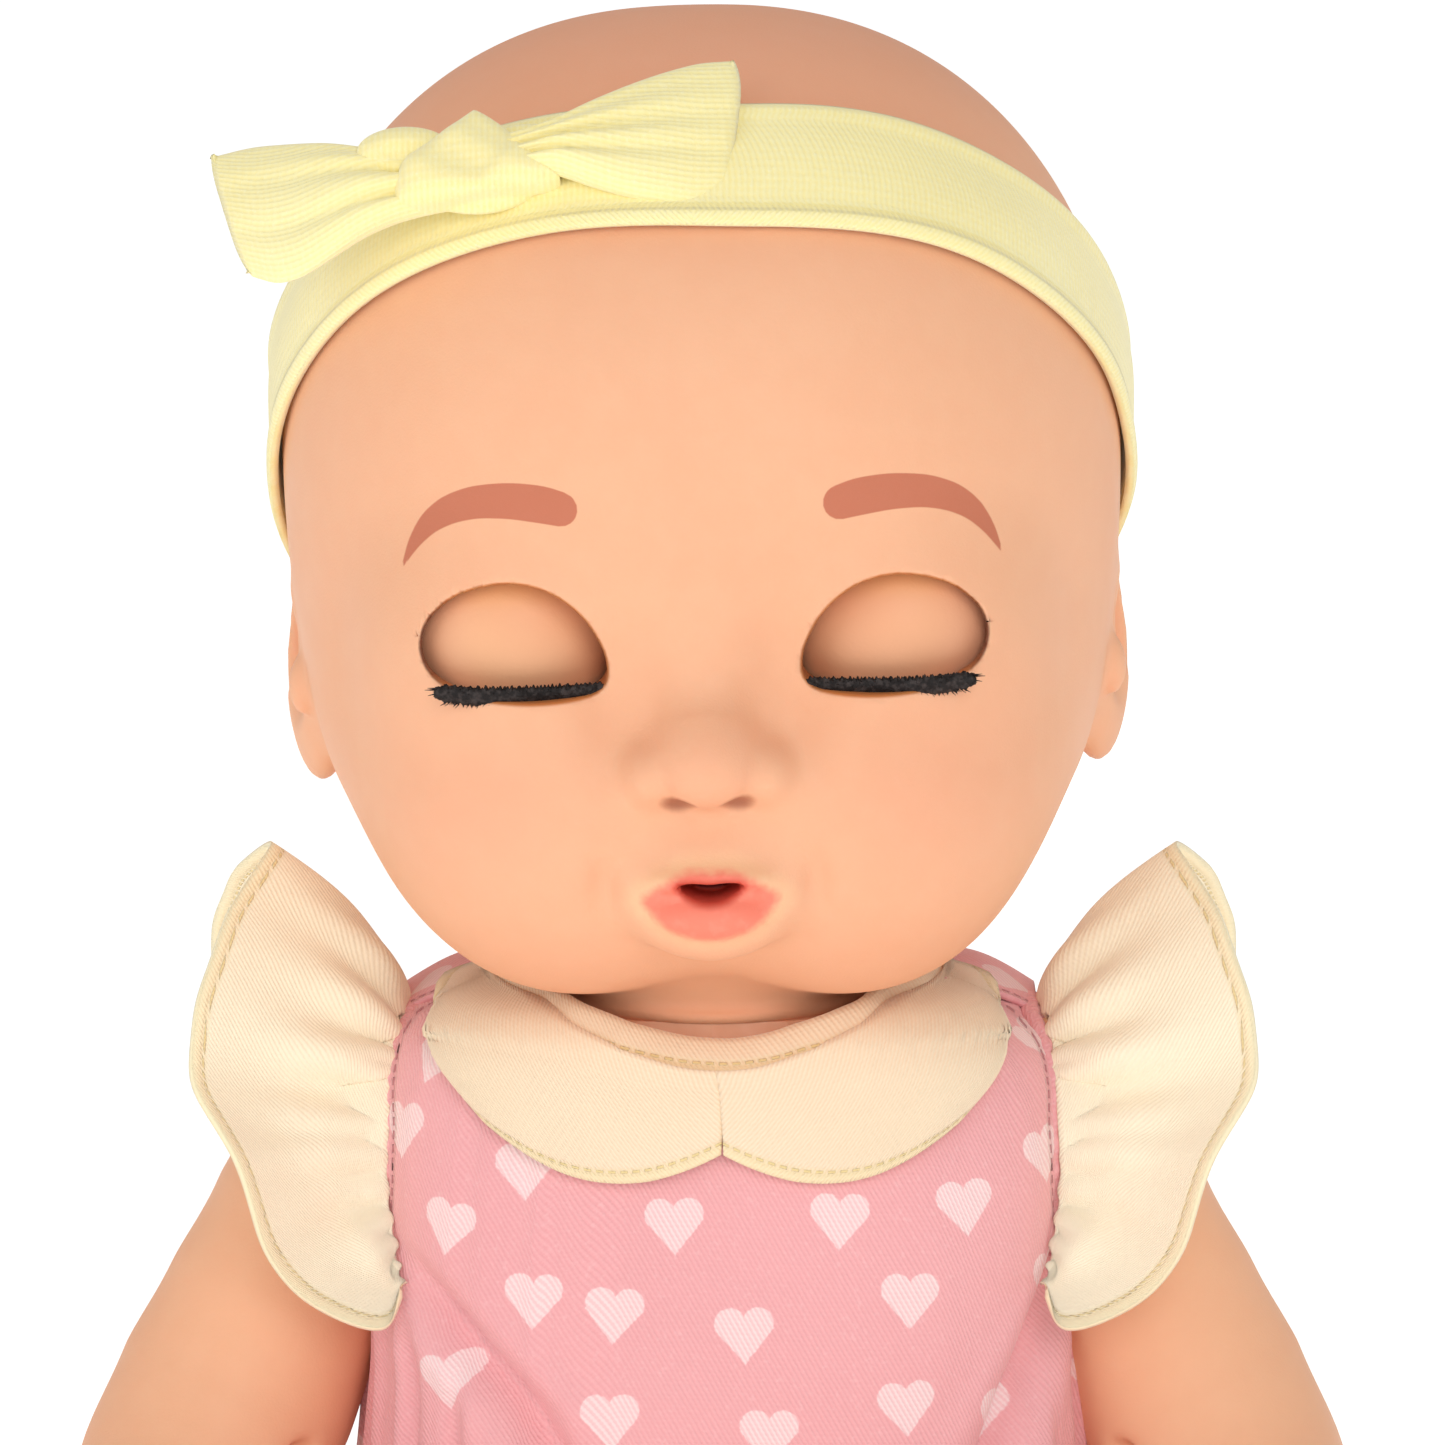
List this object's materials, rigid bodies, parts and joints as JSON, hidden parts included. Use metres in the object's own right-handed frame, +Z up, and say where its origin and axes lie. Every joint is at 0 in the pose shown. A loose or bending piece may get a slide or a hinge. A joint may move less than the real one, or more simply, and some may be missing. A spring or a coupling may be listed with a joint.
{
  "type": "interactive baby doll",
  "caption": "Seated electronic baby doll with sleep eyes, a feeding mouth, swinging limbs and a turning head, in a bubble romper and a bow headband.",
  "frame": {"origin": "middle of the romper's flat seat, where the doll sits", "axes": "+Z up through the head, -Y the way the face looks, +X the doll's left side"},
  "size_m": [0.1736, 0.1885, 0.227],
  "materials": {
    "vinyl_skin": "matte",
    "eyelid_skin": "matte",
    "eyeball_white": "gloss",
    "iris_brown": "gloss",
    "lash_black": "matte",
    "body_plastic": "matte",
    "grey_plastic": "matte",
    "gear_white": "satin",
    "steel": "satin",
    "motor_can": "satin",
    "mouth_rubber": "matte",
    "black_plastic": "matte",
    "circuit_green": "satin",
    "battery_foil": "satin",
    "pink_hearts": "woven",
    "cream_cotton": "woven",
    "yellow_knit": "knitted"
  },
  "bodies": {
    "torso": {"torso_front": "body_plastic", "torso_back": "body_plastic", "battery_door": "body_plastic", "battery_door_screw": "steel", "shell_screw_1": "steel", "shell_screw_2": "steel", "shell_screw_3": "steel", "shell_screw_4": "steel", "battery_box": "grey_plastic", "battery_1": "battery_foil", "battery_2": "battery_foil", "battery_3": "battery_foil", "circuit_board": "circuit_green", "speaker": "black_plastic", "power_switch_housing": "grey_plastic", "tummy_spring": "steel", "tummy_switch": "grey_plastic", "neck_post": "grey_plastic", "neck_retainer": "grey_plastic", "romper_body": "pink_hearts", "left_collar": "cream_cotton", "right_collar": "cream_cotton", "neckline_band": "cream_cotton", "back_placket": "pink_hearts"},
    "tummy_button": {"tummy_button": "body_plastic"},
    "power_slider": {"power_slider": "black_plastic"},
    "head": {"head_shell": "vinyl_skin", "headband": "yellow_knit", "bow_knot": "yellow_knit", "bow_outer_end": "yellow_knit", "bow_inner_end": "yellow_knit", "eye_bracket": "grey_plastic", "eye_motor": "motor_can", "mouth_sleeve": "mouth_rubber", "mouth_spring": "steel", "mouth_switch": "grey_plastic"},
    "eyes": {"left_eyeball": "eyeball_white", "left_iris": "iris_brown", "left_eyelid": "eyelid_skin", "left_lashes": "lash_black", "right_eyeball": "eyeball_white", "right_iris": "iris_brown", "right_eyelid": "eyelid_skin", "right_lashes": "lash_black", "eye_axle": "steel", "eye_sector_gear": "gear_white"},
    "eye_pinion": {"eye_pinion": "gear_white"},
    "mouth_plunger": {"mouth_plunger": "mouth_rubber"},
    "left_arm": {"left_arm": "vinyl_skin", "left_shoulder_disc": "grey_plastic", "left_flutter_sleeve": "cream_cotton"},
    "right_arm": {"right_arm": "vinyl_skin", "right_shoulder_disc": "grey_plastic", "right_flutter_sleeve": "cream_cotton"},
    "left_leg": {"left_leg": "vinyl_skin", "left_hip_disc": "grey_plastic", "left_romper_leg": "pink_hearts"},
    "right_leg": {"right_leg": "vinyl_skin", "right_hip_disc": "grey_plastic", "right_romper_leg": "pink_hearts"}
  },
  "joints": [
    {"name": "head_turn", "type": "hinge", "parent": "torso", "child": "head", "pos_m": [0, 0, 0.1044], "axis": [0, 0, 1], "range_deg": [-70, 70]},
    {"name": "eyes_open", "type": "hinge", "parent": "head", "child": "eyes", "pos_m": [0, -0.0235, 0.1552], "axis": [-1, 0, 0], "range_deg": [0, 45]},
    {"name": "eye_pinion_turn", "type": "hinge", "parent": "head", "child": "eye_pinion", "pos_m": [0, -0.0035, 0.1552], "axis": [-1, 0, 0], "range_deg": [-135, 0]},
    {"name": "mouth_press", "type": "slide", "parent": "head", "child": "mouth_plunger", "axis": [0, 1, 0], "range_m": [0, 0.002], "stiffness_N_per_m": 150, "springref_m": -0.0005},
    {"name": "tummy_press", "type": "slide", "parent": "torso", "child": "tummy_button", "axis": [0, 1, 0], "range_m": [0, 0.002], "stiffness_N_per_m": 200, "springref_m": -0.0005},
    {"name": "power_slide", "type": "slide", "parent": "torso", "child": "power_slider", "axis": [1, 0, 0], "range_m": [0, 0.004]},
    {"name": "left_arm_swing", "type": "hinge", "parent": "torso", "child": "left_arm", "pos_m": [0.0372, 0, 0.084], "axis": [-1, 0, 0], "range_deg": [-40, 110]},
    {"name": "right_arm_swing", "type": "hinge", "parent": "torso", "child": "right_arm", "pos_m": [-0.0372, 0, 0.084], "axis": [-1, 0, 0], "range_deg": [-40, 110]},
    {"name": "left_leg_swing", "type": "hinge", "parent": "torso", "child": "left_leg", "pos_m": [0.027, -0.006, 0.026], "axis": [-0.9272, 0, 0.3746], "range_deg": [-85, 8]},
    {"name": "right_leg_swing", "type": "hinge", "parent": "torso", "child": "right_leg", "pos_m": [-0.027, -0.006, 0.026], "axis": [-0.9272, 0, -0.3746], "range_deg": [-85, 8]}
  ],
  "couplings": [
    {"joint": "eye_pinion_turn", "follows": "eyes_open", "ratio": -3}
  ]
}
